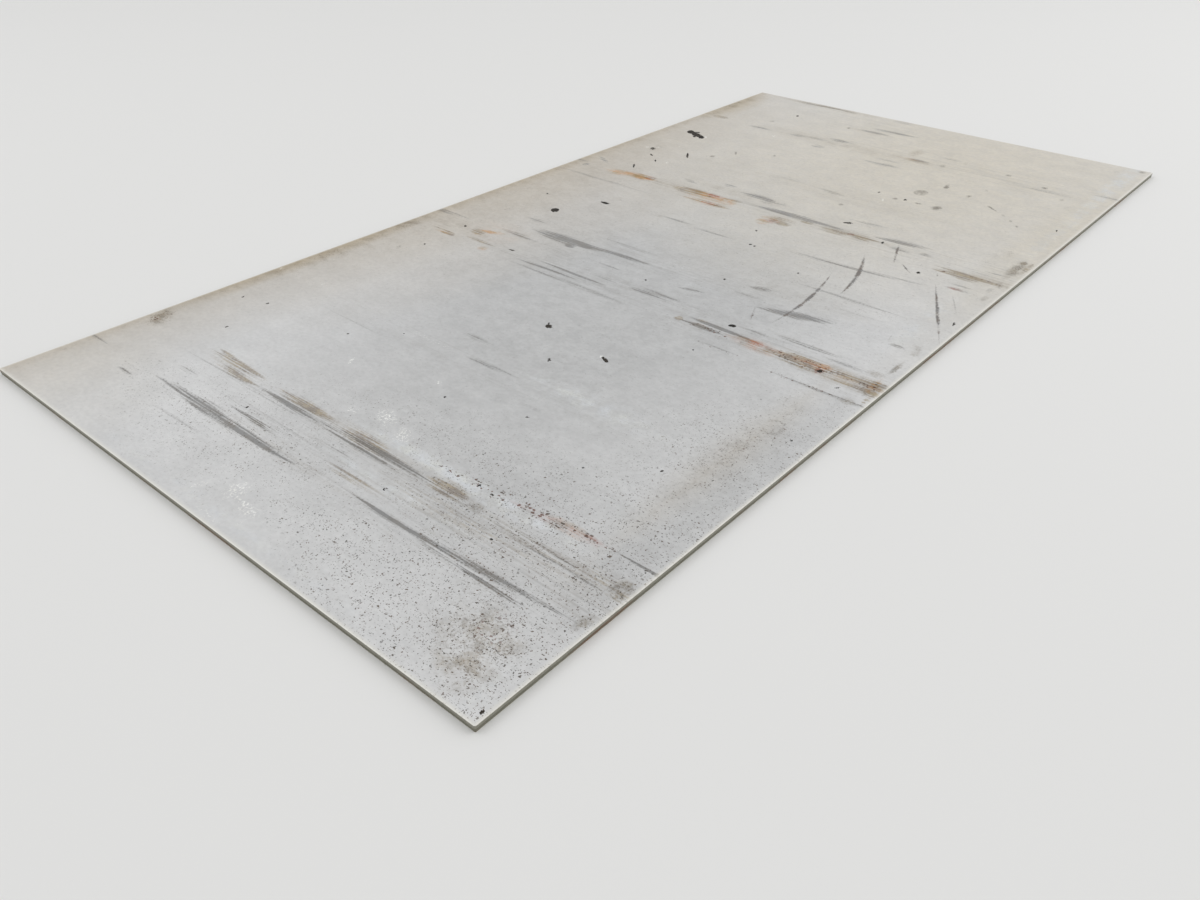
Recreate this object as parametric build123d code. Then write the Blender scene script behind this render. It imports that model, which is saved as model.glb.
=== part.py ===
from build123d import *
import os

# Steel plate: flat mill plate, sheared to size on all four sides.
# The origin is at the centre of the underside. X runs along the length and Z points up.

# Size of the plate, in millimetres
plate_length = 3000.0
plate_width = 1500.0
plate_thickness = 15.0

# Sheared edge, from the top face down. The blade first draws the face down, then rubs an upright
# land bright, and the rest of the thickness tears off and leans in under it.
roll_over_width = 12.0
roll_over_depth = 1.6
land_depth = 5.4
break_lean = 0.9

# Sharp edges that are dressed off after shearing
lower_arris_radius = 0.6
corner_radius = 3.0

# The flat middle of the top face ends where the roll-over starts.
flat_length = plate_length - 2 * roll_over_width
flat_width = plate_width - 2 * roll_over_width


def sheared_edge_section():
    """Section of the edge strip: X points out of the plate from the start of the roll-over, Y up."""
    land_top = plate_thickness - roll_over_depth
    land_foot = land_top - land_depth
    break_foot = roll_over_width - break_lean

    roll_over = EllipticalCenterArc((0, land_top), roll_over_width, roll_over_depth, arc_size=90)
    land = Line((roll_over_width, land_top), (roll_over_width, land_foot))
    torn_break = Line((roll_over_width, land_foot), (break_foot, 0))
    underside = Line((break_foot, 0), (0, 0))
    inner_side = Line((0, 0), (0, plate_thickness))

    section = make_face([roll_over, land, torn_break, underside, inner_side])
    lower_arris = section.vertices().sort_by_distance((break_foot, 0))[0]
    return fillet(lower_arris, lower_arris_radius)


def sheared_strip():
    """The edge strip, run round the four sides and mitred at the corners as two cuts meet."""
    path = Rectangle(flat_length, flat_width).wire()
    along_path = path % 0
    outward = along_path.cross(Vector(0, 0, 1))
    across_path = Plane(origin=path @ 0, x_dir=outward, z_dir=-along_path)
    return sweep(across_path * sheared_edge_section(), path=path, transition=Transition.RIGHT)


def dressed_outline():
    """Upright block with the plate's plan, its four corners rounded."""
    return extrude(RectangleRounded(plate_length, plate_width, corner_radius), amount=plate_thickness)


flat_middle = extrude(Rectangle(flat_length, flat_width), amount=plate_thickness)
steel_plate = (flat_middle + sheared_strip()) & dressed_outline()

os.makedirs("parts", exist_ok=True)
export_step(steel_plate, "parts/steel_plate.step")
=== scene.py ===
"""Steel plate: mill plate sheared to size on its four sides, pickled, and marked by handling and weather."""

import logging
import math
from bisect import bisect_left, bisect_right
from dataclasses import dataclass, field
from enum import Enum
from typing import Callable, ClassVar, Iterator, Mapping, Sequence, Union

import bpy
from mathutils import Matrix, Vector, noise


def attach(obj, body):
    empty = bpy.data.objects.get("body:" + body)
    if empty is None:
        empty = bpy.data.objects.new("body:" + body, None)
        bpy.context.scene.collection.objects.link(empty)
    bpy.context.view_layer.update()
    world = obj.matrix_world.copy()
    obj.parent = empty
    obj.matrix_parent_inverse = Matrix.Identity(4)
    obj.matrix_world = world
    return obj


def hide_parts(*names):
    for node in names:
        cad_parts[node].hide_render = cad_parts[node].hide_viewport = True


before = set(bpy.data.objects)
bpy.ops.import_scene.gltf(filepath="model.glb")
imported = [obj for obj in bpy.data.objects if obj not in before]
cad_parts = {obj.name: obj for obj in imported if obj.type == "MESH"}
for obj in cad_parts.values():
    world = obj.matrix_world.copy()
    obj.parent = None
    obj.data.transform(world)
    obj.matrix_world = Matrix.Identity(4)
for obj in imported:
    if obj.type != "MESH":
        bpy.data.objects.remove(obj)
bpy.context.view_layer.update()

log = logging.getLogger("steel_plate")

MM = 0.001
Numbers = tuple[float, ...]


# Node graphs


class Grain(Enum):
    """Fields of smooth noise.

    Each has its waves in a metre along each axis, the place where it starts, and how many times finer waves
    are added.
    """

    WANDER = ((5.0, 3.0, 0.0), (3.1, 8.7, 0.0), 1.0)
    FRAY = ((150.0, 45.0, 0.0), (11.3, 2.9, 0.0), 2.0)
    TATTER = ((190.0, 190.0, 0.0), (5.7, 31.2, 0.0), 2.0)
    FIBRE = ((210.0, 5.0, 0.0), (7.7, 1.3, 0.0), 3.0)
    THREAD = ((130.0, 2.2, 0.0), (2.7, 4.3, 0.0), 3.0)
    VEIN = ((75.0, 66.0, 0.0), (8.3, 2.2, 0.0), 3.0)
    PATCH = ((26.0, 22.0, 0.0), (1.9, 6.1, 0.0), 4.0)
    HUE = ((38.0, 26.0, 0.0), (6.6, 0.8, 0.0), 2.0)
    FACE_CLOUDS = ((1.9, 1.5, 0.0), (2.2, 5.5, 0.0), 2.0)
    FACE_MOTTLE = ((15.0, 10.0, 0.0), (9.1, 4.3, 0.0), 4.0)
    FACE_GRAIN = ((110.0, 85.0, 0.0), (0.4, 7.9, 0.0), 3.0)
    EDGE_SCORE = ((800.0, 800.0, 45.0), (1.0, 2.0, 3.0), 2.0)
    EDGE_GRIT = ((600.0, 600.0, 600.0), (5.0, 6.0, 7.0), 2.0)
    EDGE_BLOOM = ((9.0, 9.0, 70.0), (8.0, 1.0, 2.0), 3.0)
    UNDER_CLOUDS = ((2.3, 1.8, 0.0), (12.2, 15.5, 0.0), 3.0)
    UNDER_LINES = ((90.0, 2.2, 0.0), (22.7, 14.3, 0.0), 3.0)
    UNDER_BLOTCH = ((6.0, 5.0, 0.0), (31.7, 4.9, 0.0), 4.0)
    PITS = ((500.0, 500.0, 500.0), (3.0, 1.0, 4.0), 1.0)
    SAG = ((3.0, 3.0, 3.0), (1.5, 2.5, 3.5), 0.0)


class Dots(Enum):
    """Fields of round dots: side of a cell in millimetres, where the field starts, and the largest radius."""

    FINE = (3.2, (4.4, 9.2, 0.0), 0.40)
    COARSE = (13.0, (14.4, 3.2, 0.0), 0.15)
    SPATTER = (7.0, (1.4, 23.2, 0.0), 0.55)
    FRECKLES = (19.0, (3.3, 7.1, 0.0), 0.30)


class Wire:
    """An output socket that takes part in Python arithmetic, which adds Math or Vector Math nodes."""

    def __init__(self, graph: "Graph", socket: bpy.types.NodeSocket) -> None:
        """Wrap an output socket of the graph."""
        self.graph = graph
        self.socket = socket

    def __add__(self, other: "Feed") -> "Wire":
        """Self plus other."""
        return self.graph.sum_of("ADD", self, other)

    def __radd__(self, other: "Feed") -> "Wire":
        """Other plus self."""
        return self.graph.sum_of("ADD", other, self)

    def __sub__(self, other: "Feed") -> "Wire":
        """Self less other."""
        return self.graph.sum_of("SUBTRACT", self, other)

    def __rsub__(self, other: "Feed") -> "Wire":
        """Other less self."""
        return self.graph.sum_of("SUBTRACT", other, self)

    def __mul__(self, other: "Feed") -> "Wire":
        """Self times other."""
        return self.graph.sum_of("MULTIPLY", self, other)

    def __rmul__(self, other: "Feed") -> "Wire":
        """Other times self."""
        return self.graph.sum_of("MULTIPLY", other, self)

    def times_plus(self, factor: "Feed", more: "Feed") -> "Wire":
        """Self times factor plus more, in one node."""
        return self.graph.sum_of("MULTIPLY_ADD", self, factor, more)

    def size(self) -> "Wire":
        """Self without its sign."""
        return self.graph.sum_of("ABSOLUTE", self)

    def at_least(self, floor: "Feed") -> "Wire":
        """The larger of self and floor."""
        return self.graph.sum_of("MAXIMUM", self, floor)

    def at_most(self, ceiling: "Feed") -> "Wire":
        """The smaller of self and ceiling."""
        return self.graph.sum_of("MINIMUM", self, ceiling)

    def weighed(self, weights: Numbers) -> "Wire":
        """The three channels of a vector, each times its weight, added up."""
        return self.graph.sum_of("DOT_PRODUCT", self, weights)

    def rise(self, start: float, stop: float, low: float = 0.0, high: float = 1.0) -> "Wire":
        """A smooth step.

        Args:
            start: Value at which the step begins.
            stop: Value at which it ends. It may be under start, for a step down.
            low: Result at start.
            high: Result at stop.

        Returns:
            The stepped value.
        """
        made = self.graph.node(
            "ShaderNodeMapRange",
            {"interpolation_type": "SMOOTHSTEP"},
            {"Value": self, "From Min": start, "From Max": stop, "To Min": low, "To Max": high},
        )
        return Wire(self.graph, made.outputs["Result"])


Feed = Union[Wire, float, Numbers, str, bpy.types.ID]


class Graph:
    """A node tree that is written as Python expressions.

    In noise, each set of finer waves is FINER_WAVES times as strong as the one before. A dot's radius is a
    share of the largest, from nothing up to DOT_SPREAD less DOT_LOSS. DOT_SLOPE says how sharp its rim is.
    """

    FINER_WAVES: ClassVar[float] = 0.55
    DOT_SPREAD: ClassVar[float] = 1.15
    DOT_LOSS: ClassVar[float] = 0.13
    DOT_SLOPE: ClassVar[float] = 2.5

    def __init__(self, tree: bpy.types.NodeTree) -> None:
        """Empty the tree, ready for new nodes."""
        self.tree = tree
        self.tree.nodes.clear()

    def node(
        self,
        kind: str,
        settings: Mapping[str, object] | None = None,
        inputs: Mapping[str | int, Feed] | None = None,
    ) -> bpy.types.Node:
        """Add a node.

        Args:
            kind: The node's type.
            settings: Its properties, which are set before its sockets.
            inputs: The value or the link of each socket, by name or number.

        Returns:
            The new node.
        """
        made = self.tree.nodes.new(kind)
        for name, value in (settings or {}).items():
            setattr(made, name, value)
        for key, value in (inputs or {}).items():
            self.feed(made.inputs[key], value)
        return made

    def feed(self, socket: bpy.types.NodeSocket, value: Feed) -> None:
        """Link a wire to an input socket, or set the socket's own value.

        Args:
            socket: The input socket.
            value: A wire, or a value that the socket can hold.
        """
        if isinstance(value, Wire):
            self.tree.links.new(value.socket, socket)
        elif socket.type == "VECTOR" and isinstance(value, (int, float)):
            socket.default_value = (value,) * 3
        elif socket.type == "RGBA" and len(value) == 3:
            socket.default_value = (*value, 1.0)
        else:
            socket.default_value = value

    def out(self, made: bpy.types.Node, key: str | int = 0) -> Wire:
        """One output of a node, as a wire."""
        return Wire(self, made.outputs[key])

    @staticmethod
    def is_number(part: Feed) -> bool:
        """True for a single number, or for a wire that carries one."""
        return part.socket.type == "VALUE" if isinstance(part, Wire) else isinstance(part, (int, float))

    def sum_of(self, operation: str, *parts: Feed) -> Wire:
        """Add a Math node, or a Vector Math node where a part is a vector.

        Args:
            operation: The node's operation.
            parts: What goes into it, in order.

        Returns:
            Its result.
        """
        kind = "ShaderNodeMath" if all(self.is_number(p) for p in parts) else "ShaderNodeVectorMath"
        made = self.node(kind, {"operation": operation}, dict(enumerate(parts)))
        return self.out(made, "Value" if operation == "DOT_PRODUCT" else 0)

    def blend(self, share: Feed, under: Feed, over: Feed) -> Wire:
        """Mix two colours.

        Args:
            share: How much of the upper colour shows, from 0 to 1.
            under: The lower colour.
            over: The upper colour.

        Returns:
            The mixed colour.
        """
        made = self.node("ShaderNodeMix", {"data_type": "RGBA"}, {0: share, 6: under, 7: over})
        return self.out(made, 2)

    def shaded(self, colour: Feed, shade: Feed) -> Wire:
        """A colour made lighter or darker by a factor."""
        made = self.node("ShaderNodeVectorMath", {"operation": "SCALE"}, {0: colour, "Scale": shade})
        return self.out(made)

    def cloud(self, place: Wire, grain: Grain) -> Wire:
        """Smooth noise about 0.5, in two dimensions where the field has no waves along Z.

        Args:
            place: Where the noise is read.
            grain: Its field.

        Returns:
            The noise.
        """
        waves, start, detail = grain.value
        made = self.node(
            "ShaderNodeTexNoise",
            {"noise_dimensions": "3D" if waves[2] else "2D"},
            {
                "Vector": place.times_plus(waves, start),
                "Scale": 1.0,
                "Detail": detail,
                "Roughness": self.FINER_WAVES,
            },
        )
        return self.out(made)

    def dots(self, place: Wire, pattern: Dots) -> Wire:
        """Round dots of mixed sizes, one at most to a cell.

        Args:
            place: Where the dots are read.
            pattern: Their field, in which the largest radius is a share of the cell.

        Returns:
            1 in the middle of a large dot, less in a small one, and 0 between them.
        """
        pitch, start, largest = pattern.value
        cell = self.node(
            "ShaderNodeTexVoronoi",
            {"voronoi_dimensions": "2D"},
            {"Vector": place.times_plus((1.0 / (pitch * MM),) * 3, start), "Scale": 1.0},
        )
        channels = self.node("ShaderNodeSeparateColor", None, {0: self.out(cell, "Color")})
        drawn = self.out(channels, 0)
        # Small dots are the most common, and a cell whose radius comes out under 0 has none.
        radius = (drawn * drawn).times_plus(self.DOT_SPREAD * largest, -self.DOT_LOSS * largest)
        inside = radius - self.out(cell, "Distance")
        return inside.times_plus(self.DOT_SLOPE / largest, 0.0).at_least(0.0).at_most(1.0)


# Marks on the face


# A straight stroke that gets this far from the middle, across the plate or along it, reaches the rim. There
# it runs on by this share of its length.
RIM_ACROSS = 735.0
RIM_ALONG = 1480.0
RUN_ON = 0.7


class Breakup(Enum):
    """How a mark is broken up."""

    NONE = "as it is drawn"
    FIBRES = "short fine lines across the plate"
    THREADS = "long fine lines across the plate"
    PATCHES = "soft patches"
    SMEARED = "patches drawn out across the plate"
    VEINS = "veins and dots, as dirt dries"
    PEPPER = "fine dots"
    SPATTER = "coarse dots"
    FLECKS = "scattered flecks"
    CRISP = "a crisp and ragged rim"


@dataclass(frozen=True)
class Stroke:
    """A long mark, in millimetres. Across is its middle, and start and end lie along its run.

    One along the plate is fine if it is less than WIDEST_FINE wide, and one across it if it leans more than
    LEAST_FINE_LEAN. Its line wanders by up to WANDER, with WANDER_WAVES waves in a metre.
    """

    WIDEST_FINE: ClassVar[float] = 44.0
    LEAST_FINE_LEAN: ClassVar[float] = 0.15
    WANDER: ClassVar[float] = 3.0
    WANDER_WAVES: ClassVar[float] = 5.0

    across: float
    start: float
    end: float
    width: float
    strength: float
    lean: float = 0.0
    bend: float = 0.0

    def is_fine(self, along_x: bool) -> bool:
        """True if the mesh's cells are too long for the stroke, so that the material draws it."""
        return self.width < self.WIDEST_FINE if along_x else abs(self.lean) > self.LEAST_FINE_LEAN

    def half(self) -> float:
        """Half its length, in metres."""
        return (self.end - self.start) / 2 * MM

    def at(self, run: float, cross: float, spread: float) -> float:
        """Strength at a point.

        Args:
            run: The point's place along the stroke's axis, in metres.
            cross: Its place across that axis.
            spread: How many times its width the stroke needs to fade out.

        Returns:
            The strength, 0 off the stroke.
        """
        beyond = run - (self.start + self.end) / 2 * MM
        taper = 1 - (beyond / self.half()) ** 2
        if taper <= 0:
            return 0.0
        # Each stroke reads the noise somewhere else, so that no two wander alike.
        wander = noise.noise(Vector((run * self.WANDER_WAVES, self.across * 0.37, self.start * 0.11)))
        line = (self.across + self.WANDER * wander) * MM + (self.lean + self.bend / MM * beyond) * beyond
        return max(0.0, taper - abs(cross - line) / (self.width * spread / 2 * MM)) * self.strength


@dataclass(frozen=True)
class Spot:
    """A short mark: its middle and two half sizes in millimetres, its strength and its turn in degrees."""

    x: float
    y: float
    half_long: float
    half_wide: float
    strength: float
    turn: float = 0.0

    LARGEST_FINE: ClassVar[float] = 32.0

    def is_fine(self) -> bool:
        """True if the mesh's cells are too large for the spot, so that the material draws it."""
        return min(self.half_long, self.half_wide) < self.LARGEST_FINE

    def at(self, x: float, y: float) -> float:
        """Strength at a point.

        Args:
            x: The point's place along the plate, in metres.
            y: Its place across it.

        Returns:
            The strength, 0 off the spot.
        """
        turn = math.radians(self.turn)
        dx, dy = x / MM - self.x, y / MM - self.y
        long = (dx * math.cos(turn) + dy * math.sin(turn)) / self.half_long
        wide = (dy * math.cos(turn) - dx * math.sin(turn)) / self.half_wide
        return max(0.0, 1 - long * long - wide * wide) * self.strength


def strokes(*rows: Numbers, rim: float = RIM_ACROSS) -> tuple[Stroke, ...]:
    """Strokes from rows of across, start, end, width, strength, and lean and bend where they have them.

    Args:
        rows: The rows.
        rim: How far from the middle a straight stroke has to get to run on past the rim.

    Returns:
        The strokes.
    """
    made = []
    for across, start, end, width, strength, *curve in rows:
        more = 0.0 if curve else RUN_ON * (end - start)
        start, end = start - more * (start <= -rim), end + more * (end >= rim)
        made.append(Stroke(across, start, end, width, strength, *curve))
    return tuple(made)


def lengthways(*rows: Numbers) -> tuple[Stroke, ...]:
    """Strokes that run along the plate, from the same rows."""
    return strokes(*rows, rim=RIM_ALONG)


def spots(*rows: Numbers) -> tuple[Spot, ...]:
    """Spots from rows of x, y, half_long, half_wide, strength, and turn where they have it."""
    return tuple(Spot(*row) for row in rows)


@dataclass(frozen=True)
class Coat:
    """One kind of mark: what it is made of, how it is broken up, and where it lies.

    Strokes in cross run across the plate, with X first and then Y from and to. Strokes in along run along it.
    Spread is how many times its width a stroke needs to fade out. Wide marks are painted on the points of the
    mesh, in an attribute with the coat's name, and the material draws fine ones.
    """

    name: str
    colours: tuple[Numbers, Numbers]
    cover: float
    breakup: Breakup
    spread: float = 1.0
    rougher: float = 0.0
    dulls_metal: float = 0.0
    cross: tuple[Stroke, ...] = ()
    along: tuple[Stroke, ...] = ()
    spots: tuple[Spot, ...] = ()
    hollow: bool = False

    def wide(self) -> Iterator[tuple[float, float, Callable[[float, float], float]]]:
        """The marks that are painted on the mesh.

        Returns:
            Of each one the X at which it starts and ends, and its strength as a function of X and Y.
        """
        for mark in self.cross:
            if not mark.is_fine(along_x=False):
                reach = (mark.width * self.spread / 2 + mark.WANDER) * MM + abs(mark.lean) * mark.half()
                reach += abs(mark.bend) / MM * mark.half() ** 2
                middle = mark.across * MM
                yield middle - reach, middle + reach, lambda x, y, m=mark: m.at(y, x, self.spread)
        for mark in self.along:
            if not mark.is_fine(along_x=True):
                yield mark.start * MM, mark.end * MM, lambda x, y, m=mark: m.at(x, y, self.spread)
        for mark in self.spots:
            if not mark.is_fine():
                reach = max(mark.half_long, mark.half_wide)
                yield (mark.x - reach) * MM, (mark.x + reach) * MM, mark.at

    def fine(self) -> tuple[list[Stroke], list[Stroke], list[Spot]]:
        """The cross strokes, the along strokes and the spots that the material draws."""
        return (
            [s for s in self.cross if s.is_fine(along_x=False)],
            [s for s in self.along if s.is_fine(along_x=True)],
            [s for s in self.spots if s.is_fine()],
        )


DULL_SKIN = Coat(
    name="dull_skin",
    colours=((0.50, 0.503, 0.503), (0.465, 0.468, 0.468)),
    cover=0.95,
    breakup=Breakup.NONE,
    along=lengthways((-705, -1400, -300, 250, 0.9)),
    spots=spots((-600, -120, 820, 640, 1.0), (100, 50, 900, 620, 0.7), (-1150, -500, 220, 320, 0.5)),
)
# A tan film, most of it over the far half. It is partly dust and partly a painted reflection of warm
# surroundings, which makes the far side darker and warmer.
TAN_FILM = Coat(
    name="tan_film",
    colours=((0.45, 0.39, 0.30), (0.41, 0.345, 0.25)),
    cover=1.0,
    breakup=Breakup.NONE,
    rougher=0.06,
    dulls_metal=0.3,
    along=lengthways(
        (770, -1700, 1700, 640, 0.6), (750, -1500, 1500, 110, 0.3), (-640, -1180, -300, 130, 0.26),
    ),
    spots=spots((250, 480, 1300, 330, 0.32), (1260, 730, 230, 90, 0.5), (-700, 745, 420, 60, 0.3)),
)
# A pale cream film over the right half, along the near edge and at the far left corner. It is partly dust and
# partly a painted highlight of sun glare, which makes the plate lighter towards the right.
CREAM_FILM = Coat(
    name="cream_film",
    colours=((0.58, 0.545, 0.478), (0.61, 0.57, 0.49)),
    cover=1.0,
    breakup=Breakup.NONE,
    rougher=0.04,
    dulls_metal=0.2,
    spots=spots((1180, -220, 1350, 1050, 0.95), (500, -720, 900, 100, 0.3), (-1440, 560, 240, 260, 0.2)),
)
WASHED = Coat(
    name="washed",
    colours=((0.63, 0.65, 0.67), (0.65, 0.66, 0.64)),
    cover=0.85,
    breakup=Breakup.PATCHES,
    rougher=0.05,
    cross=strokes(
        (-1225, -600, 60, 44, 0.6), (-1127, -700, 60, 70, 1.1), (-770, -570, -80, 110, 0.7),
        (-1130, 120, 680, 90, 0.3), (-305, -700, -420, 26, 0.4), (-170, -330, -60, 70, 0.35),
        (-1470, -700, 600, 50, 0.45), (-800, 100, 600, 60, 0.25), (1010, -700, -300, 80, 0.3),
    ),
    along=lengthways(
        (-703, -250, 1490, 62, 0.6), (-668, -300, 330, 100, 0.5), (-690, 900, 1500, 80, 0.3),
        (-715, -1480, -1250, 50, 0.4),
    ),
)
THREADS = Coat(
    name="threads",
    colours=((0.22, 0.22, 0.215), (0.24, 0.205, 0.16)),
    cover=0.28,
    breakup=Breakup.THREADS,
    cross=strokes(
        (-1235, -745, 590, 250, 0.85), (-315, -740, 690, 190, 1.0), (385, -740, 720, 180, 1.0),
        (-130, -560, 460, 150, 0.8), (1130, -740, 620, 190, 1.0), (1370, -250, 600, 240, 0.7),
        (-800, -640, 620, 190, 0.5), (150, -680, 260, 120, 0.6), (650, -600, 500, 120, 0.4),
    ),
)
HAZE = Coat(
    name="haze",
    colours=((0.38, 0.335, 0.265), (0.31, 0.27, 0.21)),
    cover=0.6,
    breakup=Breakup.PATCHES,
    rougher=0.08,
    dulls_metal=0.4,
    along=lengthways(
        (-640, -1120, -340, 84, 0.26), (-722, -420, -230, 44, 0.4), (-718, 330, 560, 50, 0.6),
    ),
    spots=spots(
        (-1385, -635, 92, 84, 0.55), (-1450, -668, 50, 46, 0.4), (1290, 722, 190, 34, 0.7),
        (-380, 728, 120, 36, 0.6), (-1145, 716, 60, 40, 0.7, 40), (-900, 735, 300, 34, 0.4),
        (1050, 715, 150, 40, 0.4), (-640, 700, 200, 60, 0.3),
    ),
)
DUST = Coat(
    name="dust",
    colours=((0.37, 0.32, 0.245), (0.30, 0.26, 0.205)),
    cover=0.62,
    breakup=Breakup.SMEARED,
    spread=1.2,
    rougher=0.08,
    dulls_metal=0.4,
    cross=strokes(
        (-335, -740, -330, 76, 1.3), (388, -400, -150, 60, 0.7), (340, -740, -520, 70, 0.6),
        (-1160, -440, 230, 70, 0.4), (-1160, 220, 520, 60, 0.3), (1478, 180, 680, 60, 0.7),
        (-290, 380, 745, 100, 0.35), (1100, -260, 560, 120, 0.4), (-1290, -260, 420, 60, 0.2),
        (455, -60, 330, 80, 0.4), (-1195, -745, -420, 120, 0.2), (375, 60, 620, 110, 0.35),
        (1290, 40, 260, 60, 0.4), (650, -600, 500, 160, 0.15), (-60, -700, -120, 140, 0.15),
    ),
)
BROWN_DRAG = Coat(
    name="brown_drag",
    colours=((0.32, 0.255, 0.155), (0.19, 0.15, 0.11)),
    cover=0.7,
    breakup=Breakup.FIBRES,
    spread=1.35,
    rougher=0.03,
    cross=strokes(
        (-1257, 95, 175, 16, 0.6), (-1257, -280, -45, 9, 0.5), (-1248, -275, -50, 9, 0.5),
        (-1175, 250, 420, 24, 0.85), (-1150, 250, 490, 22, 0.9), (-1135, 400, 475, 18, 0.6),
        (-1155, 0, 240, 28, 1.0), (-1160, -165, 5, 54, 0.75), (-1157, -375, -255, 42, 1.0),
        (-333, 590, 670, 14, 0.6), (-325, 400, 550, 15, 0.75), (-341, -320, -240, 20, 1.0),
        (-318, -295, -245, 14, 0.8), (-323, -440, -370, 17, 1.0), (-332, -640, -460, 50, 1.1),
        (-325, -742, -605, 38, 1.1), (-357, -742, -620, 17, 1.0), (391, 210, 320, 20, 0.8),
        (327, 70, 290, 26, 0.8), (397, 90, 160, 18, 0.7), (378, -275, -175, 34, 1.1),
        (390, -360, -250, 34, 1.1), (321, -640, -535, 18, 0.9), (338, -742, -550, 26, 1.4, 0.075),
        (-1205, -700, -100, 100, 0.25), (-1165, -735, -370, 54, 0.3), (375, 210, 600, 50, 0.3),
        (1097, -190, -60, 26, 0.6), (1476, 250, 640, 40, 0.5),
    ),
    along=lengthways((-738, -430, -300, 16, 0.7), (-735, 420, 540, 16, 0.7)),
    spots=spots(
        (-344, 590, 15, 32, 0.9), (-281, 532, 20, 30, 0.8), (-342, -220, 16, 14, 0.7),
        (327, -85, 16, 24, 0.9), (353, -66, 34, 56, 0.5), (387, -130, 17, 26, 0.6),
        (376, 270, 28, 80, 0.6), (317, -635, 18, 42, 0.6), (1099, 673, 24, 40, 0.5),
        (384, 480, 26, 40, 0.6), (1180, -80, 50, 30, 0.35),
    ),
)
SMUDGES = Coat(
    name="smudges",
    colours=((0.25, 0.215, 0.16), (0.17, 0.155, 0.13)),
    cover=0.8,
    breakup=Breakup.PATCHES,
    rougher=0.08,
    dulls_metal=0.4,
    spots=spots(
        (-1162, -727, 32, 24, 0.85), (-1258, -730, 34, 16, 0.6), (-418, -712, 18, 28, 0.45),
        (-135, -722, 26, 14, 0.5), (-110, -712, 20, 18, 0.35), (330, -718, 32, 14, 0.5),
        (240, -724, 42, 11, 0.4), (455, -716, 84, 24, 0.6), (509, -714, 18, 10, 0.6),
        (-225, -722, 44, 8, 0.7), (-345, -724, 50, 12, 0.7), (-280, -700, 18, 30, 0.4),
        (-1162, -395, 16, 24, 0.5), (1108, -206, 24, 15, 0.5), (1185, -255, 17, 15, 0.5),
        (1336, 70, 17, 13, 0.6), (-1145, 720, 42, 26, 0.5, 40), (150, 217, 19, 15, 0.35),
    ),
)
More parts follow.
